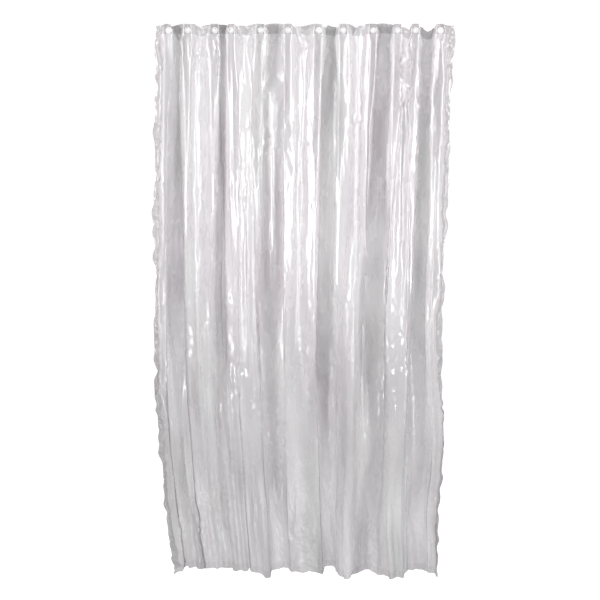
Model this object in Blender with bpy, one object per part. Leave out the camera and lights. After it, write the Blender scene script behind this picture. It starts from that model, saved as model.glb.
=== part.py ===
"""Clear vinyl shower curtain with twelve two-part grommets, gathered to half its flat width.

Frame: metres, +Z up, +X along the rod, -Y towards the viewer. The origin is on the line of hook holes,
halfway between the first and the last grommet.
"""

import math

import bpy

# ---- flat sheet ----
FLAT_WIDTH = 1.778
FLAT_HEIGHT = 1.829
FILM_THICKNESS = 0.0003
SIDE_MARGIN_FLAT = 0.0508
TOP_EDGE_ABOVE_HOLES = 0.019

# ---- welded doublings ----
TAPE_HEIGHT = 0.030
TAPE_THICKNESS = 0.0003
HEM_THICKNESS = 0.0003
SIDE_HEM_WIDTH = 0.022
BOTTOM_HEM_HEIGHT = 0.025

# ---- how it hangs: the gap between each pair of grommets along the rod, left to right ----
GATHERED_GAPS = (0.059, 0.081, 0.049, 0.090, 0.083, 0.0915, 0.0755, 0.0895, 0.075, 0.052, 0.077)
SIDE_MARGIN_GATHERED = 0.033
HEM_HALF_WIDTH = 0.446
LEFT_BELLY = 0.034
BELLY_FADE_POWER = 1.5
HEM_SWAY = 0.020
FLAT_AT_HEM = 0.002
FIRST_FOLD_SIDE = 1

# ---- grommets ----
HOOK_HOLE_RADIUS = 0.00475
BARREL_WALL = 0.00065
FLANGE_RADIUS = 0.0095
FLANGE_THICKNESS = 0.0011
RIM_BEVEL = 0.0006
WASHER_THICKNESS = 0.0009
LIP_OVERLAP = 0.0012
LIP_THICKNESS = 0.0006
GROMMET_SIDES = 16

# ---- clearances and mesh fineness ----
SEAT_GAP = 0.0003
PUNCH_CLEARANCE = 0.0005
FLAT_BEYOND_FLANGE = 0.0015
FOLD_STEPS = 10
EDGE_FOLD_STEPS = 3
LEVEL_SHARES = (0.04, 0.16, 0.42, 0.72)
FLAT_FADE_POWER = 8
GREATEST_LEAN = 2.3

# ---- sizes that follow from the ones above ----
GROMMET_COUNT = len(GATHERED_GAPS) + 1
ROW_LENGTH = sum(GATHERED_GAPS)
GROMMET_PITCH = (FLAT_WIDTH - 2 * SIDE_MARGIN_FLAT) / (GROMMET_COUNT - 1)
FLAT_AT_GROMMET = FLANGE_RADIUS + FLAT_BEYOND_FLANGE
TOP_Z = TOP_EDGE_ABOVE_HOLES
TAPE_BOTTOM_Z = TOP_Z - TAPE_HEIGHT
HEM_Z = TOP_Z - FLAT_HEIGHT
HEM_TOP_Z = HEM_Z + BOTTOM_HEM_HEIGHT
TAPE_OFFSET = (FILM_THICKNESS + TAPE_THICKNESS) / 2 + SEAT_GAP
HEM_OFFSET = (FILM_THICKNESS + HEM_THICKNESS) / 2 + SEAT_GAP
BARREL_RADIUS = HOOK_HOLE_RADIUS + BARREL_WALL
PUNCH_RADIUS = BARREL_RADIUS + PUNCH_CLEARANCE
WASHER_BORE_RADIUS = BARREL_RADIUS + SEAT_GAP
LIP_RADIUS = WASHER_BORE_RADIUS + LIP_OVERLAP
FLANGE_BACK_Y = -FILM_THICKNESS / 2 - SEAT_GAP
FLANGE_FRONT_Y = FLANGE_BACK_Y - FLANGE_THICKNESS
WASHER_FRONT_Y = TAPE_OFFSET + TAPE_THICKNESS / 2 + SEAT_GAP
WASHER_BACK_Y = WASHER_FRONT_Y + WASHER_THICKNESS
LIP_FRONT_Y = WASHER_BACK_Y + SEAT_GAP
LIP_BACK_Y = LIP_FRONT_Y + LIP_THICKNESS


def clear_scene():
    for old in list(bpy.data.objects):
        bpy.data.objects.remove(old, do_unlink=True)


def plastic(name, colour, roughness, alpha=1.0):
    material = bpy.data.materials.new(name)
    material.use_nodes = True
    shader = material.node_tree.nodes["Principled BSDF"]
    shader.inputs["Base Color"].default_value = (*colour, 1.0)
    shader.inputs["Roughness"].default_value = roughness
    shader.inputs["Metallic"].default_value = 0.0
    shader.inputs["Alpha"].default_value = alpha
    return material


def grommet_places():
    """X of each grommet, left to right, centred on the origin."""
    places = [-ROW_LENGTH / 2]
    for gap in GATHERED_GAPS:
        places.append(places[-1] + gap)
    return places


# ---- the curve that the film follows at one height ----

def fold_path(stops, lean, cycles, side):
    """A fold from (0, 0) through stops, measured along the film: it leans to lean radians and back."""
    points = [(0.0, 0.0)]
    for start, end in zip(stops, stops[1:]):
        angle = lean * math.sin(math.pi * cycles * (start + end) / stops[-1])
        x, y = points[-1]
        step = end - start
        points.append((x + step * math.cos(angle), y + side * step * math.sin(angle)))
    return points


def fold(span, stops, cycles, side):
    """The fold whose two ends are span apart: its lean is found by halving."""
    low, high = 0.0, GREATEST_LEAN
    for _ in range(40):
        lean = (low + high) / 2
        reach = fold_path(stops, lean, cycles, side)[-1][0]
        if reach > span:
            low = lean
        else:
            high = lean
    return fold_path(stops, (low + high) / 2, cycles, side)


def evenly(start, end, steps):
    return [start + (end - start) * i / steps for i in range(steps + 1)]


def profile(z):
    """The film's centre line at height z, left edge to right edge."""
    depth = min(max((TAPE_BOTTOM_Z - z) / (TAPE_BOTTOM_Z - HEM_Z), 0.0), 1.0)
    flat = FLAT_AT_HEM + (FLAT_AT_GROMMET - FLAT_AT_HEM) * (1 - depth) ** FLAT_FADE_POWER
    hem_row_end = HEM_HALF_WIDTH - SIDE_MARGIN_GATHERED
    knots = []
    for i, x in enumerate(grommet_places()):
        from_left = i / (GROMMET_COUNT - 1)
        at_hem = hem_row_end * (2 * from_left - 1)
        belly = LEFT_BELLY * math.sin(math.pi * depth) * (1 - from_left) ** BELLY_FADE_POWER
        knots.append(x + (at_hem - x) * depth - belly)
    whole_stops = evenly(0.0, GROMMET_PITCH - 2 * flat, FOLD_STEPS)
    edge_span = SIDE_MARGIN_GATHERED - flat
    edge_length = SIDE_MARGIN_FLAT - flat
    hem_start = edge_length - SIDE_HEM_WIDTH
    edge_stops = evenly(0.0, hem_start, EDGE_FOLD_STEPS)[:-1]
    edge_stops += evenly(hem_start, edge_length, EDGE_FOLD_STEPS)
    side = FIRST_FOLD_SIDE
    edge = fold(edge_span, edge_stops, 0.5, side)
    points = [(knots[0] - flat - x, -y) for x, y in reversed(edge)]
    for a, b in zip(knots, knots[1:]):
        whole = fold(b - a - 2 * flat, whole_stops, 1, side)
        points += [(a + flat + x, y) for x, y in whole]
        side = -side
    edge = fold(edge_span, edge_stops, 0.5, side)
    points += [(knots[-1] + flat + x, y) for x, y in edge]
    return [(x, y - depth * HEM_SWAY * math.sin(math.pi / 2 * x / HEM_HALF_WIDTH)) for x, y in points]


def film_levels():
    """Heights at which the film's folds are set out, top edge to hem."""
    between = [TAPE_BOTTOM_Z + (HEM_TOP_Z - TAPE_BOTTOM_Z) * share for share in LEVEL_SHARES]
    return [TOP_Z, TAPE_BOTTOM_Z, *between, HEM_TOP_Z, HEM_Z]


def row_at(z, levels, rows):
    """The film's centre line at any height, straight between the two levels around it."""
    for high, low, upper, lower in zip(levels, levels[1:], rows, rows[1:]):
        if low <= z <= high:
            t = (high - z) / (high - low)
            return [(a[0] + (b[0] - a[0]) * t, a[1] + (b[1] - a[1]) * t) for a, b in zip(upper, lower)]
    return rows[-1]


def shifted(points, offset):
    """The same line moved square to itself, towards the back of the curtain."""
    moved = []
    for i, (x, y) in enumerate(points):
        before = points[max(i - 1, 0)]
        after = points[min(i + 1, len(points) - 1)]
        along_x = after[0] - before[0]
        along_y = after[1] - before[1]
        size = math.hypot(along_x, along_y)
        moved.append((x - offset * along_y / size, y + offset * along_x / size))
    return moved


# ---- solids ----

def mesh_object(name, verts, faces, material):
    mesh = bpy.data.meshes.new(name)
    mesh.from_pydata(verts, [], faces)
    mesh.validate()
    mesh.materials.append(material)
    thing = bpy.data.objects.new(name, mesh)
    bpy.context.scene.collection.objects.link(thing)
    return thing


def layer(name, rows, offset, thickness, material):
    """A thin closed solid that follows rows of (z, points), moved back by offset."""
    count = len(rows[0][1])
    verts = []
    for shift in (offset - thickness / 2, offset + thickness / 2):
        for z, points in rows:
            verts += [(x, y, z) for x, y in shifted(points, shift)]
    back = len(rows) * count
    faces = []
    for r in range(len(rows) - 1):
        for i in range(count - 1):
            a = r * count + i
            b, c, d = a + 1, a + count + 1, a + count
            faces += [(a, d, c), (a, c, b), (back + a, back + c, back + d), (back + a, back + b, back + c)]
        left = r * count
        right = left + count - 1
        faces.append((left, back + left, back + left + count, left + count))
        faces.append((right, right + count, back + right + count, back + right))
    last = back - count
    for i in range(count - 1):
        faces.append((i, i + 1, back + i + 1, back + i))
        faces.append((last + i, back + last + i, back + last + i + 1, last + i + 1))
    return mesh_object(name, verts, faces, material)


def turned(name, x, outline, material):
    """A ring turned about an axis along Y at x, from an anticlockwise outline of (radius, y) points."""
    verts = []
    for s in range(GROMMET_SIDES):
        angle = 2 * math.pi * s / GROMMET_SIDES
        verts += [(r * math.cos(angle), y, r * math.sin(angle)) for r, y in outline]
    count = len(outline)
    faces = []
    for s in range(GROMMET_SIDES):
        here = s * count
        there = (s + 1) % GROMMET_SIDES * count
        for i in range(count):
            j = (i + 1) % count
            faces.append((here + i, here + j, there + j, there + i))
    ring = mesh_object(name, verts, faces, material)
    ring.data.shade_smooth()
    ring.data.set_sharp_from_angle(angle=math.radians(35))
    ring.location.x = x
    return ring


def hole_punch(places):
    """Twelve short rods, one through each hook hole, that cut the film and the tape."""
    verts = []
    faces = []
    reach = FLANGE_THICKNESS + TAPE_OFFSET + WASHER_THICKNESS
    for x in places:
        first = len(verts)
        for y in (-reach, reach):
            for s in range(GROMMET_SIDES):
                angle = 2 * math.pi * s / GROMMET_SIDES
                verts.append((x + PUNCH_RADIUS * math.cos(angle), y, PUNCH_RADIUS * math.sin(angle)))
        near = [first + s for s in range(GROMMET_SIDES)]
        far = [v + GROMMET_SIDES for v in near]
        faces.append(tuple(near))
        faces.append(tuple(reversed(far)))
        for s in range(GROMMET_SIDES):
            t = (s + 1) % GROMMET_SIDES
            faces.append((near[t], near[s], far[s], far[t]))
    punch = mesh_object("hole_punch", verts, faces, plastic("punch", (0.8, 0.1, 0.1), 0.5))
    punch.hide_render = True
    punch.display_type = "WIRE"
    return punch


def cut(thing, cutter):
    boolean = thing.modifiers.new("hook_holes", "BOOLEAN")
    boolean.operation = "DIFFERENCE"
    boolean.solver = "EXACT"
    boolean.object = cutter


# ---- the curtain's pieces ----

def make_film(levels, rows, material):
    return layer("curtain_film", list(zip(levels, rows)), 0.0, FILM_THICKNESS, material)


def make_header_tape(levels, rows, material):
    heights = (TOP_Z, TAPE_BOTTOM_Z)
    return layer("header_tape", [(z, row_at(z, levels, rows)) for z in heights], TAPE_OFFSET,
                 TAPE_THICKNESS, material)


def make_bottom_hem(levels, rows, material):
    heights = (HEM_TOP_Z, HEM_Z)
    return layer("bottom_hem", [(z, row_at(z, levels, rows)) for z in heights], HEM_OFFSET,
                 HEM_THICKNESS, material)


def make_side_hem(name, levels, rows, at_left, material):
    """A strip SIDE_HEM_WIDTH wide along one edge, between the header tape and the bottom hem."""
    heights = [TAPE_BOTTOM_Z - SEAT_GAP, *levels[2:-2], HEM_TOP_Z + SEAT_GAP]
    kept = slice(0, EDGE_FOLD_STEPS + 1) if at_left else slice(-EDGE_FOLD_STEPS - 1, None)
    strip = [(z, row_at(z, levels, rows)[kept]) for z in heights]
    return layer(name, strip, HEM_OFFSET, HEM_THICKNESS, material)


def make_grommet(number, x, material):
    """The front half: a flange, a barrel through the film and a lip clenched behind the washer."""
    outline = (
        (FLANGE_RADIUS, FLANGE_BACK_Y),
        (BARREL_RADIUS, FLANGE_BACK_Y),
        (BARREL_RADIUS, LIP_FRONT_Y),
        (LIP_RADIUS, LIP_FRONT_Y),
        (LIP_RADIUS - RIM_BEVEL / 2, LIP_BACK_Y),
        (HOOK_HOLE_RADIUS + RIM_BEVEL, LIP_BACK_Y),
        (HOOK_HOLE_RADIUS, LIP_BACK_Y - RIM_BEVEL),
        (HOOK_HOLE_RADIUS, FLANGE_FRONT_Y + RIM_BEVEL),
        (HOOK_HOLE_RADIUS + RIM_BEVEL, FLANGE_FRONT_Y),
        (FLANGE_RADIUS - RIM_BEVEL, FLANGE_FRONT_Y),
        (FLANGE_RADIUS, FLANGE_FRONT_Y + RIM_BEVEL),
    )
    return turned(f"grommet_{number:02d}", x, outline, material)


def make_washer(number, x, material):
    """The back half: a flat ring around the barrel."""
    outline = (
        (WASHER_BORE_RADIUS, WASHER_FRONT_Y),
        (FLANGE_RADIUS, WASHER_FRONT_Y),
        (FLANGE_RADIUS, WASHER_BACK_Y - RIM_BEVEL / 2),
        (FLANGE_RADIUS - RIM_BEVEL / 2, WASHER_BACK_Y),
        (WASHER_BORE_RADIUS, WASHER_BACK_Y),
    )
    return turned(f"washer_{number:02d}", x, outline, material)


def build():
    clear_scene()
    vinyl = plastic("clear_vinyl", (0.86, 0.84, 0.86), 0.12, alpha=0.45)
    doubled = plastic("welded_vinyl", (0.80, 0.78, 0.80), 0.18, alpha=0.6)
    white = plastic("grommet_plastic", (0.92, 0.92, 0.92), 0.25)
    levels = film_levels()
    rows = [profile(z) for z in levels]
    places = grommet_places()
    punch = hole_punch(places)
    film = make_film(levels, rows, vinyl)
    tape = make_header_tape(levels, rows, doubled)
    cut(film, punch)
    cut(tape, punch)
    make_bottom_hem(levels, rows, doubled)
    make_side_hem("left_hem", levels, rows, True, doubled)
    make_side_hem("right_hem", levels, rows, False, doubled)
    for number, x in enumerate(places, start=1):
        make_grommet(number, x, white)
        make_washer(number, x, white)


build()
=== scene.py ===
import math

import bpy
import numpy as np
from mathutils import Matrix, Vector


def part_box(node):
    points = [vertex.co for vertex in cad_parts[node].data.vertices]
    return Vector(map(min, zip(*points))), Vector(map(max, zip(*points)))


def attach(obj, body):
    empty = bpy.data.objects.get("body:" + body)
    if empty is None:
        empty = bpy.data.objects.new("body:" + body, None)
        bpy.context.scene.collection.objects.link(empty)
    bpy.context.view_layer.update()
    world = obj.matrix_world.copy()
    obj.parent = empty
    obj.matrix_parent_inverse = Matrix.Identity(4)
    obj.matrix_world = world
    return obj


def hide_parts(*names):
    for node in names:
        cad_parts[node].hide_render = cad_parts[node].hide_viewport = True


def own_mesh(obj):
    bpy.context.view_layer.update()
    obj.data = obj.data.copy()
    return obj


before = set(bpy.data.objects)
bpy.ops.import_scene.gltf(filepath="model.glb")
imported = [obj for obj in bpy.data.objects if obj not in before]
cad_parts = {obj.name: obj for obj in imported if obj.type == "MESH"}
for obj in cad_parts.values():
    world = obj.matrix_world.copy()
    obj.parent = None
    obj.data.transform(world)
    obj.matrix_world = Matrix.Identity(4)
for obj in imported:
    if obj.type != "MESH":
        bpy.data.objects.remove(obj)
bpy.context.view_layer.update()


# ---- The hook holes ----
# Twelve holes carry the whole curtain, 152 mm apart along the flat sheet and pushed together on the rod.
# Where each one hangs is read from its grommet.

HOLE_COUNT = 12
hole_x = []
for number in range(1, HOLE_COUNT + 1):
    low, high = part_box(f"grommet_{number:02d}")
    hole_x.append((low.x + high.x) / 2)
hole_x = np.array(hole_x)


# ---- The sheet, laid flat ----
# One piece of clear vinyl film, 0.3 mm thick, cut 1778 mm wide and 1829 mm long.
# Its grid is closer around each hook hole, where the film is clamped, and leaves out the hole itself.

SHEET_WIDTH = 1.778
SHEET_LENGTH = 1.829
EDGE_TO_HOLE = 0.0508
TOP_ABOVE_HOLES = 0.019
BAND_DEPTH = 0.030
SIDE_HEM = 0.022
FOOT_HEM = 0.025
CLAMPED = 0.011
CUT_OUT = 0.006
BAY_STEPS = 34
ROW_STEP = 0.0052

hole_pitch = (SHEET_WIDTH - 2 * EDGE_TO_HOLE) / (HOLE_COUNT - 1)
hole_s = EDGE_TO_HOLE + hole_pitch * np.arange(HOLE_COUNT)
bottom_z = TOP_ABOVE_HOLES - SHEET_LENGTH

near_hole = np.array((-CLAMPED, -0.0085, -CUT_OUT, -0.002, 0.002, CUT_OUT, 0.0085, CLAMPED))
margin_inner = EDGE_TO_HOLE - CLAMPED
left_stops = np.concatenate([np.linspace(0, SIDE_HEM, 7), np.linspace(SIDE_HEM, margin_inner, 5)[1:-1]])
columns = [left_stops]
for k, s in enumerate(hole_s):
    columns.append(s + near_hole)
    if k < HOLE_COUNT - 1:
        columns.append(np.linspace(s + CLAMPED, s + hole_pitch - CLAMPED, BAY_STEPS + 1)[1:-1])
columns.append(SHEET_WIDTH - left_stops[::-1])
columns = np.concatenate(columns)

top_rows = (TOP_ABOVE_HOLES, 0.0155, 0.0122, 0.009, CUT_OUT, 0.002, -0.002, -CUT_OUT, -0.0085)
band_z = TOP_ABOVE_HOLES - BAND_DEPTH
foot_z = bottom_z + FOOT_HEM
open_rows = np.linspace(band_z, foot_z, round((band_z - foot_z) / ROW_STEP) + 1)
rows = np.concatenate([top_rows, open_rows, np.linspace(foot_z, bottom_z, 7)[1:]])
S, Z = np.meshgrid(columns, rows)


# ---- The hang ----
# The film is stiff enough to keep its length: in each bay between two holes it bows to the back and to the
# front by turns, and lower down the bays even out, drift sideways and break into second, smaller folds.

FOLD_SAMPLES = 240
SIDE_MARGIN_SPAN = 0.033
HEM_HALF_WIDTH = 0.446
BROKEN_BAYS = (0.60, 0.85, 0.80, 0.45, 0.25, 0, 0.10, 0, 0.15, 0, 0.20)
FINE_PLEATED_BAYS = 3
SWELL_ROWS, SWELL_COLUMNS = 64, 256
SWELL_HEIGHT = 2.4
FACET_LEANS = (0.42, -0.47)
FACET_PULL = 0.9
FACET_REACH = 0.22
MOST_LEAN = 2.9
HALVINGS = 34
KNOT_DRIFT = 0.006
EDGE_DRIFT = 0.25
CLAMPED_AT_FOOT = 0.0015
KNOT_HALF_WIDTH = 0.0014
SETTLED_DEPTH = 0.45
CALMED = 0.65
PACKED_AT_FOOT = 0.27


def spline_shares(t):
    """How much each of four neighbouring draws counts at t, from 0 to 1 between the middle two."""
    return ((1 - t) ** 3 / 6, (3 * t**3 - 6 * t**2 + 4) / 6,
            (-3 * t**3 + 3 * t**2 + 3 * t + 1) / 6, t**3 / 6)


def swell(across, down, seed):
    """Smooth random swells, one for each unit across and down, about -2 to 2."""
    draw = np.random.default_rng(seed).normal(size=(SWELL_ROWS, SWELL_COLUMNS))
    total = 0
    i, j = np.floor(down).astype(int), np.floor(across).astype(int)
    v, u = down - i, across - j
    for a, wa in enumerate(spline_shares(v)):
        for b, wb in enumerate(spline_shares(u)):
            total = total + draw[(i + a) % SWELL_ROWS, (j + b) % SWELL_COLUMNS] * wa * wb
    return SWELL_HEIGHT * total


def ease(t):
    """A soft rise from 0 to 1, flat at both ends."""
    t = np.clip(t, 0, 1)
    return t * t * (3 - 2 * t)


def faceted(angle, stiff):
    """Leans drawn to a few flat facets, because stiff film bends along its creases and stays flat between."""
    for lean in FACET_LEANS:
        off = angle - lean
        angle = angle - FACET_PULL * stiff * off * np.exp(-((off / FACET_REACH) ** 2))
    return angle


def bowed(span, length, shape, stiff):
    """Points along a strip of film, one strip for each row, whose lean follows shape and reaches span."""
    low, high = np.zeros(len(span)), np.full(len(span), MOST_LEAN)
    for _ in range(HALVINGS):
        lean = (low + high) / 2
        reach = np.cos(faceted(lean[:, None] * shape, stiff)).mean(1) * length
        low = np.where(reach > span, lean, low)
        high = np.where(reach > span, high, lean)
    angle = faceted(lean[:, None] * shape, stiff)
    step = length[:, None] / FOLD_SAMPLES
    nought = np.zeros((len(span), 1))
    x = np.hstack([nought, np.cumsum(np.cos(angle) * step, 1)])
    y = np.hstack([nought, np.cumsum(np.sin(angle) * step, 1)])
    return x, y


depth = np.clip((band_z - rows) / (band_z - bottom_z), 0, 1)
row_end = HEM_HALF_WIDTH - SIDE_MARGIN_SPAN
even_x = np.linspace(-row_end, row_end, HOLE_COUNT)
drift = np.array([swell(np.full(len(rows), 3.1 * k), rows / 0.80, 11) for k in range(HOLE_COUNT)])
drift[0] *= EDGE_DRIFT
drift[-1] *= EDGE_DRIFT


def swung(stops):
    """How far an edge swings out at each height, smoothly through (height, swing) stops."""
    heights, swings = np.array(stops[::-1]).T
    plain = np.interp(np.linspace(0, bottom_z, 400), heights, swings)
    padded = np.pad(plain, 30, mode="edge")
    smooth = np.convolve(padded, np.hanning(61) / np.hanning(61).sum(), mode="valid")
    return np.interp(rows, np.linspace(bottom_z, 0, 400), smooth[::-1])


LEFT_SWING = (
    (0, 0), (-0.3, -0.016), (-0.85, -0.036), (-1.2, -0.037),
    (-1.45, -0.018), (-1.6, -0.010), (-1.81, 0.012),
)
RIGHT_SWING = (
    (0, 0), (-0.3, -0.003), (-0.6, -0.003), (-0.95, -0.014),
    (-1.1, 0), (-1.35, 0.013), (-1.6, -0.004), (-1.81, 0.014),
)
to_left = np.linspace(1, 0, HOLE_COUNT)[:, None]
swing = swung(LEFT_SWING) * to_left**1.5 + swung(RIGHT_SWING) * (1 - to_left) ** 1.5
knot_x = hole_x[:, None] + (even_x - hole_x)[:, None] * depth + swing
knot_x = knot_x + KNOT_DRIFT * drift * ease(depth / 0.35)
stiff = np.exp(-((depth / 0.62) ** 4))[:, None]
clamped = CLAMPED_AT_FOOT + (CLAMPED - CLAMPED_AT_FOOT) * (1 - depth) ** 10
open_fold = ease(depth / 0.32)
settling_down = ease((depth - SETTLED_DEPTH) / 0.35)
calm = 1 - CALMED * settling_down

X, Y = np.zeros_like(S), np.zeros_like(S)
middle = (np.arange(FOLD_SAMPLES) + 0.5) / FOLD_SAMPLES
share = np.linspace(0, 1, FOLD_SAMPLES + 1)
packed = 1 - PACKED_AT_FOOT * settling_down
fold_length = (hole_pitch - 2 * clamped) * packed
for k in range(HOLE_COUNT - 1):
    side = 1 if k % 2 == 0 else -1
    second = 0.80 * swell(np.full(len(rows), 7.7 * k), rows / 0.75, 23) * ease(depth / 0.25) * calm
    fourth = 0.34 * swell(np.full(len(rows), 2.9 * k + 0.5), rows / 0.45, 31) * ease(depth / 0.12) * calm
    third = 0.55 * swell(np.full(len(rows), 5.3 * k), rows / 0.65, 29) * ease(depth / 0.15) * calm
    broken = BROKEN_BAYS[k] * ease((depth - 0.35) / 0.5)[:, None]
    pleats = 5 if k < FINE_PLEATED_BAYS else 3
    low_shape = (1 - broken) * np.cos(np.pi * middle) + broken * np.cos(pleats * np.pi * middle)
    shape = (1 - open_fold)[:, None] * np.sin(2 * np.pi * middle) + open_fold[:, None] * low_shape
    shape = side * shape + second[:, None] * np.sin(4 * np.pi * middle) * 0.5
    shape = shape + third[:, None] * np.cos(3 * np.pi * middle) * np.sin(np.pi * middle)
    shape = shape + fourth[:, None] * np.sin(6 * np.pi * middle)
    span = knot_x[k + 1] - knot_x[k] - 2 * clamped
    x, y = bowed(span, fold_length, shape, stiff)
    y = y - y[:, -1:] * share
    past_knot, before_next = hole_s[k] + KNOT_HALF_WIDTH, hole_s[k + 1] - KNOT_HALF_WIDTH
    inside = np.where((columns > past_knot) & (columns < before_next))[0]
    for r in range(len(rows)):
        t = (columns[inside] - hole_s[k] - clamped[r]) / (hole_pitch - 2 * clamped[r])
        within = inside[(t >= 0) & (t <= 1)]
        t = t[(t >= 0) & (t <= 1)]
        X[r, within] = knot_x[k, r] + clamped[r] + np.interp(t, share, x[r])
        Y[r, within] = np.interp(t, share, y[r])
for k in range(HOLE_COUNT):
    flat = np.abs(S - hole_s[k]) <= clamped[:, None] + 1e-9
    X[flat] = (knot_x[k][:, None] + S - hole_s[k])[flat]
edge_length = EDGE_TO_HOLE - clamped
for at_left in (True, False):
    knot = knot_x[0] if at_left else knot_x[-1]
    ruffle = 0.5 * swell(np.full(len(rows), 1.3 if at_left else 9.1), rows / 0.16, 37) * ease(depth / 0.05)
    shape = -np.sin(np.pi * middle) + ruffle[:, None] * np.sin(2 * np.pi * middle)
    x, y = bowed(np.full(len(rows), SIDE_MARGIN_SPAN) - clamped, edge_length, shape, stiff)
    from_hole = hole_s[0] - columns if at_left else columns - hole_s[-1]
    for r in range(len(rows)):
        within = np.where(from_hole > clamped[r])[0]
        t = (from_hole[within] - clamped[r]) / edge_length[r]
        out = clamped[r] + np.interp(t, share, x[r])
        X[r, within] = knot[r] - out if at_left else knot[r] + out
        Y[r, within] = np.interp(t, share, y[r])
LEAN_PLACES = (-0.445, -0.385, -0.20, 0.0, 0.44)
LEANS = (-0.025, 0.042, 0.022, -0.010, -0.010)
lean_back = np.interp(X, LEAN_PLACES, LEANS)
Y += lean_back * depth[:, None] ** 2
P = np.stack([X, Y, Z], -1)


# ---- Creases ----
# Sharp ridges left by the packing and the pull of the holes, all squeezed tall and narrow by the gathering,
# with a close pucker along the welded edges.

PACKING_RIDGE, FINE_RIDGE, GRAIN_RIDGE = 0.0036, 0.0011, 0.0004
LEFT_FOOT_RIDGE, CRUMPLE_RIDGE, CRUMPLE_GRAIN = 0.0055, 0.0030, 0.0005
HOLE_RIDGE, SWAG_RIDGE = 0.0026, 0.0042
SIDE_PUCKER, FOOT_PUCKER, SIDE_TUG = 0.0058, 0.0016, 0.0026
FOOT_DROOP, FINE_DROOP = 0.009, 0.003


def square_to(points):
    """The film's own direction towards its back, at every point."""
    across = np.gradient(points, axis=1)
    down = np.gradient(points, axis=0)
    normal = np.cross(down, across)
    return normal / np.linalg.norm(normal, axis=-1, keepdims=True)


def ridge(values):
    """Swells turned into sharp ridges with soft valleys between them."""
    return 0.8 - np.abs(values)


from_top = TOP_ABOVE_HOLES - Z
waver = 0.6 * swell(S / 0.30, Z / 0.50, 41)
crease = PACKING_RIDGE * ridge(swell(S / 0.052 + waver, Z / 0.80, 43))
crease += FINE_RIDGE * ridge(swell(S / 0.027 + 0.7 * waver, Z / 0.45, 47))
crease += GRAIN_RIDGE * ridge(swell(S / 0.013 - 0.9 * waver, Z / 0.16, 53))
crease *= (0.75 + 0.35 * swell(S / 0.16, Z / 0.30, 59)) * (0.55 + 0.75 * np.exp(-from_top / 0.7))
crumpled = ease(swell(S / 0.10, Z / 0.16, 73) - 0.85) * (0.35 + 0.65 * np.exp(-from_top / 0.6))
crumpled = np.maximum(crumpled, np.exp(-((S - 1.62) / 0.06) ** 2 - ((Z + 0.24) / 0.20) ** 2))
crumpled = np.maximum(crumpled, 0.9 * np.exp(-((S - 0.42) / 0.05) ** 2 - ((Z + 0.38) / 0.09) ** 2))
by_left_foot = np.exp(-((S - 0.24) / 0.16) ** 2 - ((Z + 1.66) / 0.14) ** 2)
crease += LEFT_FOOT_RIDGE * by_left_foot * ridge(swell((S + 0.3 * Z) / 0.065, (Z - 0.2 * S) / 0.075, 97))
crumpled = np.maximum(crumpled, 1.1 * by_left_foot)
slanting = swell((S + 0.4 * Z) / 0.024 + 0.4 * waver, (Z - 0.35 * S) / 0.030, 79)
crease += CRUMPLE_RIDGE * crumpled * ridge(slanting)
crease += CRUMPLE_GRAIN * crumpled * ridge(swell((S - 0.5 * Z) / 0.012, (Z + 0.3 * S) / 0.020, 83))

to_hole = np.full_like(S, 9.0)
for k in range(HOLE_COUNT):
    aside, below = S - hole_s[k], -Z
    away = np.hypot(aside, below)
    to_hole = np.minimum(to_hole, away)
    turn = np.arctan2(aside, np.maximum(below, -0.02) + 0.02)
    pulled = ridge(swell(turn * 3.4 + 13.7 * k, away / 0.5, 61))
    crease += HOLE_RIDGE * pulled * np.exp(-away / 0.16) * ease((away - CLAMPED) / 0.05)

# Long pulls below a hole: its number, then how far aside, the slant, the length, width and height.
PULLS = (
    (1, 0.004, 0.010, 0.75, 0.020, 0.0070),
    (2, -0.004, 0.020, 0.35, 0.012, 0.0035),
    (3, 0.002, 0.030, 0.55, 0.012, 0.0050),
    (5, -0.006, -0.120, 0.50, 0.024, 0.0080),
    (5, 0.012, 0.020, 0.35, 0.010, 0.0040),
    (6, 0.004, 0.030, 0.40, 0.012, 0.0035),
    (7, -0.002, -0.150, 0.55, 0.020, 0.0080),
    (8, 0.000, 0.020, 0.65, 0.011, 0.0045),
    (9, 0.002, -0.020, 0.60, 0.011, 0.0045),
    (10, 0.004, 0.100, 0.35, 0.013, 0.0050),
    (11, -0.004, -0.110, 0.90, 0.016, 0.0060),
    (12, -0.001, 0.000, 0.80, 0.012, 0.0055),
)
for number, aside, slant, length, width, height in PULLS:
    below = np.clip(-Z - CLAMPED, 0, None)
    along = np.clip(below / length, 0, 1)
    spread = width * (0.45 + 0.55 * np.sqrt(along))
    line = (S - hole_s[number - 1] - aside - slant * below) / spread
    crease -= height * (1 - along) ** 0.8 * np.exp(-(line**2)) * ease(below / 0.03)

# Swags that hang across a bay, and how far down each one starts.
SWAGS = {8: (0.080, 0.150), 9: (0.050, 0.095, 0.150, 0.215), 10: (0.042, 0.080, 0.120, 0.165, 0.225)}
for bay, drops in SWAGS.items():
    across_bay = np.clip((S - hole_s[bay] - CLAMPED) / (hole_pitch - 2 * CLAMPED), 0, 1)
    bow = np.sin(np.pi * across_bay)
    for n, drop in enumerate(drops):
        one_side = 0.35 * np.sin(2 * np.pi * across_bay) * (-1) ** n
        line = -drop - (0.050 + 0.008 * n) * (bow + one_side) + 0.004 * waver
        crease -= SWAG_RIDGE * bow * np.exp(-(((Z - line) / (0.0065 + 0.0015 * n)) ** 2))

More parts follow.
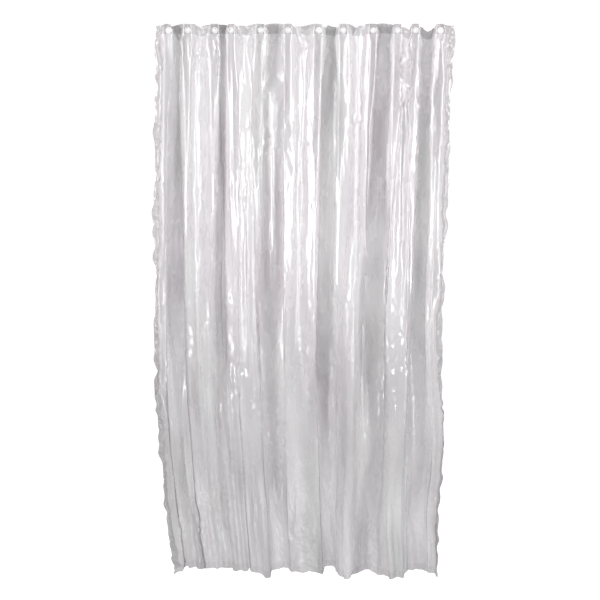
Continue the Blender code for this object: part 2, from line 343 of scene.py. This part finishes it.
to_side = np.minimum(S, SHEET_WIDTH - S)
pucker = ridge(swell((Z + 0.5 * to_side) / 0.016 + 0.8 * waver, S / 0.05, 67))
pucker = pucker * np.exp(-np.maximum(to_side - 0.012, 0) / 0.012)
crease += SIDE_PUCKER * pucker * (0.65 + 0.35 * np.sin(Z / 0.11 + 2 * waver))
to_foot = Z - bottom_z
crease += FOOT_PUCKER * ridge(swell(S / 0.020 + 0.3 * waver, Z / 0.08, 71)) * np.exp(-to_foot / 0.030)
hold = ease((to_hole - CLAMPED) / 0.030)
P = P + square_to(P) * (crease * hold)[..., None]
tug = SIDE_TUG * swell(Z / 0.022, S / 0.5, 89) * np.exp(-to_side / 0.020) * ease((from_top - 0.04) / 0.08)
P[..., 0] += tug

droop = FOOT_DROOP * ridge(swell(S / 0.085, S * 0, 101)) + FINE_DROOP * swell(S / 0.030, S * 0, 103)
P[..., 2] -= droop * np.exp(-to_foot / 0.12)

# How far the header sags between two holes.
SAGS = {6: 0.009, 9: 0.010, 10: 0.023}
for bay, sag in SAGS.items():
    inside = (S > hole_s[bay]) & (S < hole_s[bay + 1])
    t = (P[..., 0] - hole_x[bay] - CLAMPED) / (hole_x[bay + 1] - hole_x[bay] - 2 * CLAMPED)
    sagged = sag * np.sin(np.pi * np.clip(t, 0, 1)) ** 1.5 * np.exp(-from_top / 0.14)
    P[..., 2] -= np.where(inside, sagged, 0)


# ---- Hung under its own weight ----
# Heavy film hangs from twelve points only, so it sags between them and pulls into dimples below them.
# A coarser copy, pinned where the grommets clamp it and cut a touch too large, settles as cloth.

CLOTH_FRAMES = 22
SPARE = 0.012
STRETCH_STIFFNESS = 30
STRETCH_DAMPING = 8


def thinned(stops, kept_whole, step=2):
    """Every second stop, and all of those that have to be kept."""
    kept = [0]
    for i in range(1, len(stops) - 1):
        if kept_whole[i] or i - kept[-1] >= step:
            kept.append(i)
    return np.array(kept + [len(stops) - 1])


def refined(values, stops, finer):
    """Values at stops, along the first axis, carried smoothly to finer stops."""
    i = np.clip(np.searchsorted(stops, finer, side="right") - 1, 0, len(stops) - 2)
    gap = stops[i + 1] - stops[i]
    t = ((finer - stops[i]) / gap)[:, None, None]
    slope = np.gradient(values, stops, axis=0)
    gap = gap[:, None, None]
    start = (2 * t**3 - 3 * t**2 + 1) * values[i] + (t**3 - 2 * t**2 + t) * gap * slope[i]
    return start + (3 * t**2 - 2 * t**3) * values[i + 1] + (t**3 - t**2) * gap * slope[i + 1]


def film_faces(across, down):
    """Four-cornered faces over a grid of film, row by row, with the hook holes left out."""
    width = len(across)
    hole_row = np.abs(down[:-1] + down[1:]) / 2 < CUT_OUT
    hole_column = np.abs((across[:-1] + across[1:])[:, None] / 2 - hole_s).min(1) < CUT_OUT
    faces = []
    for r in range(len(down) - 1):
        for c in range(width - 1):
            if not (hole_row[r] and hole_column[c]):
                first = r * width + c
                faces.append((first, first + width, first + width + 1, first + 1))
    return faces


def settled(points, across, down):
    """The same grid after it has hung as cloth from its clamped places."""
    width = len(across)
    mesh = bpy.data.meshes.new("settling")
    mesh.from_pydata(points.reshape(-1, 3).tolist(), [], film_faces(across, down))
    cloth_film = bpy.data.objects.new("settling", mesh)
    bpy.context.scene.collection.objects.link(cloth_film)
    clamp = cloth_film.vertex_groups.new(name="clamped")
    for r in np.where(np.abs(down) < CLAMPED + 0.0015)[0]:
        for s in hole_s:
            near = np.where(np.abs(across - s) < CLAMPED + 0.0005)[0]
            clamp.add([int(r * width + c) for c in near], 1.0, "REPLACE")
    cloth = cloth_film.modifiers.new("cloth", "CLOTH")
    cloth.settings.quality = 5
    cloth.settings.mass = 0.01
    cloth.settings.tension_stiffness = STRETCH_STIFFNESS
    cloth.settings.compression_stiffness = STRETCH_STIFFNESS
    cloth.settings.shear_stiffness = 12
    cloth.settings.bending_stiffness = 0.05
    cloth.settings.tension_damping = STRETCH_DAMPING
    cloth.settings.compression_damping = STRETCH_DAMPING
    cloth.settings.shear_damping = STRETCH_DAMPING
    cloth.settings.bending_damping = 1
    cloth.settings.air_damping = 3
    cloth.settings.shrink_min = -SPARE
    cloth.settings.vertex_group_mass = "clamped"
    cloth.collision_settings.use_collision = False
    cloth.collision_settings.use_self_collision = False
    cloth.point_cache.frame_start = 1
    cloth.point_cache.frame_end = CLOTH_FRAMES
    for number in range(1, CLOTH_FRAMES + 1):
        bpy.context.scene.frame_set(number)
    shaped = cloth_film.evaluated_get(bpy.context.evaluated_depsgraph_get())
    places = np.empty(len(shaped.data.vertices) * 3)
    shaped.data.vertices.foreach_get("co", places)
    bpy.data.objects.remove(cloth_film, do_unlink=True)
    bpy.context.scene.frame_set(1)
    return places.reshape(points.shape)


near = np.abs(columns[:, None] - hole_s).min(1)
corner = np.minimum(np.abs(near - CLAMPED), np.abs(near - CUT_OUT)) < 1e-6
kept_columns = thinned(columns, corner)
kept_rows = thinned(rows, np.isclose(np.abs(rows), CUT_OUT))
coarse = P[np.ix_(kept_rows, kept_columns)]
moved = settled(coarse, columns[kept_columns], rows[kept_rows]) - coarse
moved = refined(moved, -rows[kept_rows], -rows)
moved = refined(moved.transpose(1, 0, 2), columns[kept_columns], columns).transpose(1, 0, 2)
P = P + moved
P[..., 2] = np.where(P[..., 2] < 0, P[..., 2] / (1 + SPARE), P[..., 2])


# ---- The film ----
# Clear vinyl with a frost: it lets some light straight through, greys what it folds over, and throws
# wet-looking reflections off every ridge.

FILM_TINT = (0.80, 0.752, 0.786)
GREENISH = (0.775, 0.775, 0.768)
FILM_FROST, FILM_FROST_EDGE_ON = 0.76, 0.82
EDGE_ON_POWER = 2.4
GLOSSIEST, DULLEST = 0.19, 0.33


def clear_vinyl(name, frost, frost_edge_on, tint):
    """Film that is frost cloudy face on and frost_edge_on cloudy where it turns away."""
    material = bpy.data.materials.new(name)
    material.use_nodes = True
    nodes, links = material.node_tree.nodes, material.node_tree.links
    nodes.clear()
    output = nodes.new("ShaderNodeOutputMaterial")
    mix = nodes.new("ShaderNodeMixShader")
    through = nodes.new("ShaderNodeBsdfTransparent")
    skin = nodes.new("ShaderNodeBsdfPrincipled")
    skin.inputs["IOR"].default_value = 2.1
    skin.inputs["Specular IOR Level"].default_value = 0.6

    flat = nodes.new("ShaderNodeUVMap")
    flat.uv_map = "flat_sheet"
    metres = nodes.new("ShaderNodeVectorMath")
    metres.operation = "MULTIPLY"
    metres.inputs[1].default_value = (SHEET_WIDTH, SHEET_LENGTH, 1)
    links.new(flat.outputs["UV"], metres.inputs[0])

    def mottle(scale, squeeze, detail):
        """Cloudy noise laid on the flat sheet, scale to the metre across and squeeze of that down it."""
        stretched = nodes.new("ShaderNodeVectorMath")
        stretched.operation = "MULTIPLY"
        stretched.inputs[1].default_value = (scale, scale * squeeze, 1)
        noise = nodes.new("ShaderNodeTexNoise")
        noise.inputs["Scale"].default_value = 1
        noise.inputs["Detail"].default_value = detail
        links.new(metres.outputs[0], stretched.inputs[0])
        links.new(stretched.outputs[0], noise.inputs["Vector"])
        return noise

    def between(source, low, high):
        """The noise spread from low to high."""
        spread = nodes.new("ShaderNodeMapRange")
        spread.inputs["From Min"].default_value = 0.3
        spread.inputs["From Max"].default_value = 0.7
        spread.inputs["To Min"].default_value = low
        spread.inputs["To Max"].default_value = high
        links.new(source.outputs["Fac"], spread.inputs["Value"])
        return spread

    tone = mottle(7, 0.12, 2)
    shade = nodes.new("ShaderNodeValToRGB")
    shade.color_ramp.elements[0].position = 0.34
    shade.color_ramp.elements[0].color = (*GREENISH, 1)
    shade.color_ramp.elements[1].position = 0.50
    shade.color_ramp.elements[1].color = (*tint, 1)
    links.new(tone.outputs["Fac"], shade.inputs["Fac"])
    links.new(shade.outputs["Color"], skin.inputs["Base Color"])

    facing = nodes.new("ShaderNodeLayerWeight")
    facing.inputs["Blend"].default_value = 0.5
    edge_on = nodes.new("ShaderNodeMath")
    edge_on.operation = "POWER"
    edge_on.inputs[1].default_value = EDGE_ON_POWER
    links.new(facing.outputs["Facing"], edge_on.inputs[0])
    rise = nodes.new("ShaderNodeMath")
    rise.operation = "MULTIPLY_ADD"
    rise.inputs[1].default_value = frost_edge_on - frost
    links.new(edge_on.outputs[0], rise.inputs[0])
    cloud = between(mottle(9, 0.25, 4), frost * 0.80, frost * 1.20)
    links.new(cloud.outputs["Result"], rise.inputs[2])
    links.new(rise.outputs[0], mix.inputs["Fac"])

    wet = between(mottle(26, 0.3, 3), GLOSSIEST, DULLEST)
    links.new(wet.outputs["Result"], skin.inputs["Roughness"])
    crinkle = nodes.new("ShaderNodeBump")
    crinkle.inputs["Strength"].default_value = 0.3
    crinkle.inputs["Distance"].default_value = 0.0016
    fine = mottle(95, 0.35, 3)
    links.new(fine.outputs["Fac"], crinkle.inputs["Height"])
    links.new(crinkle.outputs["Normal"], skin.inputs["Normal"])
    links.new(through.outputs[0], mix.inputs[1])
    links.new(skin.outputs[0], mix.inputs[2])
    links.new(mix.outputs[0], output.inputs["Surface"])
    return material


def film_piece(name, points, across, down, material):
    """A sheet of film through a grid of points, with the flat sheet as its map."""
    mesh = bpy.data.meshes.new(name)
    mesh.from_pydata(points.reshape(-1, 3).tolist(), [], film_faces(across, down))
    mesh.shade_smooth()
    flat_s, flat_z = np.meshgrid(across, down)
    places = np.stack([flat_s / SHEET_WIDTH, (flat_z - bottom_z) / SHEET_LENGTH], -1).reshape(-1, 2)
    corners = np.empty(len(mesh.loops), dtype=np.int32)
    mesh.loops.foreach_get("vertex_index", corners)
    for map_name in ("flat_sheet", "OFBake"):
        layer = mesh.uv_layers.new(name=map_name)
        layer.uv.foreach_set("vector", places[corners].astype(np.float32).ravel())
    mesh.materials.append(material)
    piece = bpy.data.objects.new(name, mesh)
    bpy.context.scene.collection.objects.link(piece)
    return piece


sheet_vinyl = clear_vinyl("clear_vinyl", FILM_FROST, FILM_FROST_EDGE_ON, FILM_TINT)
film = film_piece("clear_film", P, columns, rows, sheet_vinyl)


# ---- Header band, side hems and foot hem ----
# Strips of the same film turned over on the back of the sheet and welded along their inner edges.
# They are a second layer, so the edges look denser and a little stiffer.

LAYER_GAP = 0.0006
WELD_TINT = (0.80, 0.77, 0.785)
WELD_FROST, WELD_FROST_EDGE_ON = 0.45, 0.90
FOOT_FROST, FOOT_FROST_EDGE_ON = 0.08, 0.12
welded_vinyl = clear_vinyl("welded_vinyl", WELD_FROST, WELD_FROST_EDGE_ON, WELD_TINT)
foot_vinyl = clear_vinyl("foot_vinyl", FOOT_FROST, FOOT_FROST_EDGE_ON, WELD_TINT)
back = P + square_to(P) * LAYER_GAP
band_rows = np.where(rows >= band_z - 1e-9)[0]
foot_rows = np.where(rows <= foot_z + 1e-9)[0]
between_rows = np.arange(band_rows[-1], foot_rows[0] + 1)
left_columns = np.where(columns <= SIDE_HEM + 1e-9)[0]
right_columns = np.where(columns >= SHEET_WIDTH - SIDE_HEM - 1e-9)[0]
everything = np.arange(len(columns))


def strip(name, node, strip_rows, strip_columns, material):
    """A doubled strip behind the film, over some of its rows and columns."""
    points = back[np.ix_(strip_rows, strip_columns)]
    piece = film_piece(name, points, columns[strip_columns], rows[strip_rows], material)
    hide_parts(node)
    return piece


strips = [
    strip("header_band", "header_tape", band_rows, everything, welded_vinyl),
    strip("left_side_hem", "left_hem", between_rows, left_columns, welded_vinyl),
    strip("right_side_hem", "right_hem", between_rows, right_columns, welded_vinyl),
    strip("foot_hem", "bottom_hem", foot_rows, everything, foot_vinyl),
]
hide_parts("curtain_film")
for piece in (film, *strips):
    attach(piece, "curtain")
    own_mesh(piece)


# ---- Grommets ----
# White plastic rings in two halves: the front one has a flange, and a barrel that goes through the film
# and is clenched over the washer behind it.

TURN_STEPS = 64
HOLE_RADIUS = 0.00475
BARREL_RADIUS = 0.0054
FLANGE_RADIUS = 0.0095
WASHER_HOLE_RADIUS = BARREL_RADIUS + 0.0003
LIP_FRONT_RADIUS, LIP_BACK_RADIUS = 0.0069, 0.0067
FLANGE_FRONT, FLANGE_BACK = -0.00155, -0.00045
WASHER_FRONT, WASHER_BACK = 0.00105, 0.00195
LIP_FRONT, LIP_BACK = 0.00225, 0.00285


def white_plastic():
    """Moulded white plastic with a fine grain, given a painted glow: a faint emission that stands in for
    light coming through it from behind.
    """
    material = bpy.data.materials.new("grommet_plastic")
    material.use_nodes = True
    nodes, links = material.node_tree.nodes, material.node_tree.links
    skin = nodes["Principled BSDF"]
    skin.inputs["IOR"].default_value = 1.5
    place = nodes.new("ShaderNodeTexCoord")
    noise = nodes.new("ShaderNodeTexNoise")
    noise.inputs["Scale"].default_value = 420
    noise.inputs["Detail"].default_value = 3
    links.new(place.outputs["Object"], noise.inputs["Vector"])
    shade = nodes.new("ShaderNodeValToRGB")
    shade.color_ramp.elements[0].color = (0.88, 0.88, 0.87, 1)
    shade.color_ramp.elements[1].color = (0.96, 0.96, 0.95, 1)
    links.new(noise.outputs["Fac"], shade.inputs["Fac"])
    links.new(shade.outputs["Color"], skin.inputs["Base Color"])
    # Painted glow: the plastic's own colour is emitted faintly, in place of light that comes through it from
    # behind.
    links.new(shade.outputs["Color"], skin.inputs["Emission Color"])
    skin.inputs["Emission Strength"].default_value = 0.26
    polish = nodes.new("ShaderNodeMapRange")
    polish.inputs["To Min"].default_value = 0.22
    polish.inputs["To Max"].default_value = 0.38
    links.new(noise.outputs["Fac"], polish.inputs["Value"])
    links.new(polish.outputs["Result"], skin.inputs["Roughness"])
    grain = nodes.new("ShaderNodeBump")
    grain.inputs["Strength"].default_value = 0.15
    grain.inputs["Distance"].default_value = 0.0001
    links.new(noise.outputs["Fac"], grain.inputs["Height"])
    links.new(grain.outputs["Normal"], skin.inputs["Normal"])
    return material


def rounded(outline, radius, steps=4):
    """An outline of (radius, y) points with each corner turned into a small arc."""
    rounded_points = []
    for i, corner in enumerate(outline):
        corner = np.array(corner)
        before, after = np.array(outline[i - 1]), np.array(outline[(i + 1) % len(outline)])
        into, away = before - corner, after - corner
        cut = min(radius, 0.45 * np.linalg.norm(into), 0.45 * np.linalg.norm(away))
        start = corner + into / np.linalg.norm(into) * cut
        end = corner + away / np.linalg.norm(away) * cut
        for t in np.linspace(0, 1, steps + 1):
            rounded_points.append((1 - t) ** 2 * start + 2 * t * (1 - t) * corner + t * t * end)
    return rounded_points


def turned_ring(name, x, outline, material):
    """A ring turned about the hook hole's axis, which runs front to back at x."""
    verts, faces = [], []
    for step in range(TURN_STEPS):
        angle = 2 * math.pi * step / TURN_STEPS
        for radius, y in outline:
            verts.append((x + radius * math.cos(angle), y, radius * math.sin(angle)))
    count = len(outline)
    for step in range(TURN_STEPS):
        here, there = step * count, (step + 1) % TURN_STEPS * count
        for i in range(count):
            j = (i + 1) % count
            faces.append((here + i, here + j, there + j, there + i))
    mesh = bpy.data.meshes.new(name)
    mesh.from_pydata(verts, [], faces)
    mesh.shade_smooth()
    mesh.materials.append(material)
    ring = bpy.data.objects.new(name, mesh)
    bpy.context.scene.collection.objects.link(ring)
    return ring


plastic = white_plastic()
front_half = rounded([
    (FLANGE_RADIUS, FLANGE_BACK),
    (BARREL_RADIUS, FLANGE_BACK),
    (BARREL_RADIUS, LIP_FRONT),
    (LIP_FRONT_RADIUS, LIP_FRONT),
    (LIP_BACK_RADIUS, LIP_BACK),
    (HOLE_RADIUS + 0.0003, LIP_BACK),
    (HOLE_RADIUS, LIP_BACK - 0.0004),
    (HOLE_RADIUS, FLANGE_FRONT + 0.0004),
    (HOLE_RADIUS + 0.0005, FLANGE_FRONT),
    (FLANGE_RADIUS - 0.0004, FLANGE_FRONT),
    (FLANGE_RADIUS, FLANGE_FRONT + 0.0005),
], 0.0003)
back_half = rounded([
    (WASHER_HOLE_RADIUS, WASHER_FRONT),
    (FLANGE_RADIUS, WASHER_FRONT),
    (FLANGE_RADIUS, WASHER_BACK - 0.0002),
    (FLANGE_RADIUS - 0.0003, WASHER_BACK),
    (WASHER_HOLE_RADIUS, WASHER_BACK),
], 0.0002)
halves = (("grommet_front", "grommet", front_half), ("grommet_washer", "washer", back_half))
for number, x in enumerate(hole_x, start=1):
    body = "curtain" if number == 1 else f"hook_point_{number:02d}"
    for label, node, outline in halves:
        ring = turned_ring(f"{label}_{number:02d}", x, outline, plastic)
        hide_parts(f"{node}_{number:02d}")
        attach(ring, body)


# ---- Floor, light and camera ----
# A white floor, soft lamps in front of, below and behind the curtain, and a long lens a little above the
# header that looks slightly down. The white world is brighter to the camera than to the film.

FLOOR_DROP = 0.085
FLOOR_REACH = 30.0
LOOK_DOWN = 15.73
floor_z = bottom_z - FLOOR_DROP
floor_mesh = bpy.data.meshes.new("floor")
floor_corners = ((-1, -1), (1, -1), (1, 1), (-1, 1))
floor_points = [(FLOOR_REACH * x, FLOOR_REACH * y, floor_z) for x, y in floor_corners]
floor_mesh.from_pydata(floor_points, [], [(0, 1, 2, 3)])
floor = bpy.data.objects.new("floor", floor_mesh)
bpy.context.scene.collection.objects.link(floor)
floor_paint = bpy.data.materials.new("floor_paint")
floor_paint.use_nodes = True
floor_skin = floor_paint.node_tree.nodes["Principled BSDF"]
floor_skin.inputs["Base Color"].default_value = (0.6, 0.6, 0.6, 1)
floor_skin.inputs["Roughness"].default_value = 0.9
floor_skin.inputs["Specular IOR Level"].default_value = 0.0
floor_skin.inputs["Emission Color"].default_value = (1, 1, 1, 1)
floor_skin.inputs["Emission Strength"].default_value = 0.92
floor_mesh.materials.append(floor_paint)
floor.visible_diffuse = False
floor.visible_glossy = False

world = bpy.data.worlds.new("studio")
bpy.context.scene.world = world
world.use_nodes = True
nodes, links = world.node_tree.nodes, world.node_tree.links
nodes.clear()
out = nodes.new("ShaderNodeOutputWorld")
seen, felt, glossed = (nodes.new("ShaderNodeBackground") for _ in range(3))
seen.inputs["Color"].default_value = (1, 1, 1, 1)
seen.inputs["Strength"].default_value = 1.02
felt.inputs["Color"].default_value = (1, 1, 1, 1)
felt.inputs["Strength"].default_value = 0.24
glossed.inputs["Color"].default_value = (0.95, 0.95, 1.0, 1)
towards = nodes.new("ShaderNodeTexCoord")
upward = nodes.new("ShaderNodeSeparateXYZ")
from_floor = nodes.new("ShaderNodeMapRange")
from_floor.inputs["From Min"].default_value = -0.12
from_floor.inputs["From Max"].default_value = -0.42
from_floor.inputs["To Min"].default_value = 0.42
from_floor.inputs["To Max"].default_value = 0.56
links.new(towards.outputs["Generated"], upward.inputs[0])
links.new(upward.outputs["Z"], from_floor.inputs["Value"])
links.new(from_floor.outputs["Result"], glossed.inputs["Strength"])
path = nodes.new("ShaderNodeLightPath")
not_gloss, not_seen = nodes.new("ShaderNodeMixShader"), nodes.new("ShaderNodeMixShader")
links.new(path.outputs["Is Glossy Ray"], not_gloss.inputs["Fac"])
links.new(felt.outputs[0], not_gloss.inputs[1])
links.new(glossed.outputs[0], not_gloss.inputs[2])
links.new(path.outputs["Is Camera Ray"], not_seen.inputs["Fac"])
links.new(not_gloss.outputs[0], not_seen.inputs[1])
links.new(seen.outputs[0], not_seen.inputs[2])
links.new(not_seen.outputs[0], out.inputs["Surface"])


def softbox(name, place, towards, width, height, power, spread):
    """A soft oblong lamp of power watts that shines towards a point and isn't seen itself."""
    light = bpy.data.lights.new(name, "AREA")
    light.shape = "RECTANGLE"
    light.size, light.size_y = width, height
    light.energy = power
    light.spread = math.radians(spread)
    lamp = bpy.data.objects.new(name, light)
    lamp.location = place
    lamp.rotation_euler = (Vector(towards) - Vector(place)).to_track_quat("-Z", "Y").to_euler()
    lamp.visible_camera = False
    bpy.context.scene.collection.objects.link(lamp)


softbox("lamp_front_left", (-2.3, -2.2, 0.0), (0, 0, 0.0), 0.9, 1.9, 3.9, 46)
softbox("lamp_front_right", (2.5, -1.9, 0.0), (0, 0, 0.0), 0.6, 1.9, 4, 46)
softbox("lamp_left_foot", (-2.3, -2.2, -1.50), (0, 0, -0.56), 0.5, 1.1, 1.5, 38)
softbox("lamp_right_foot", (2.5, -1.9, -1.50), (0, 0, -0.56), 0.3, 1.1, 1.2, 38)
softbox("lamp_glints", (-0.35, -0.55, floor_z + 0.02), (-0.2, 0, -1.72), 0.5, 0.05, 0.07, 90)
softbox("lamp_back_left", (-2.2, 2.4, 0.4), (0, 0, -0.6), 0.5, 2.0, 7, 80)
softbox("lamp_back_right", (2.4, 2.2, 0.4), (0, 0, -0.6), 0.5, 2.0, 7, 80)
softbox("lamp_low", (0, -0.5, floor_z + 0.03), (0, 0, -1.76), 1.6, 0.25, 0.29, 100)

camera = bpy.data.objects.new("camera", bpy.data.cameras.new("camera"))
camera.data.lens = 78.0
camera.data.sensor_width = 36.0
camera.location = (-0.0136, -4.0, 0.28)
camera.rotation_euler = (math.radians(90 - LOOK_DOWN), 0, 0)
bpy.context.scene.collection.objects.link(camera)
bpy.context.scene.camera = camera
bpy.context.scene.view_settings.view_transform = "Standard"
bpy.context.scene.cycles.transparent_max_bounces = 32
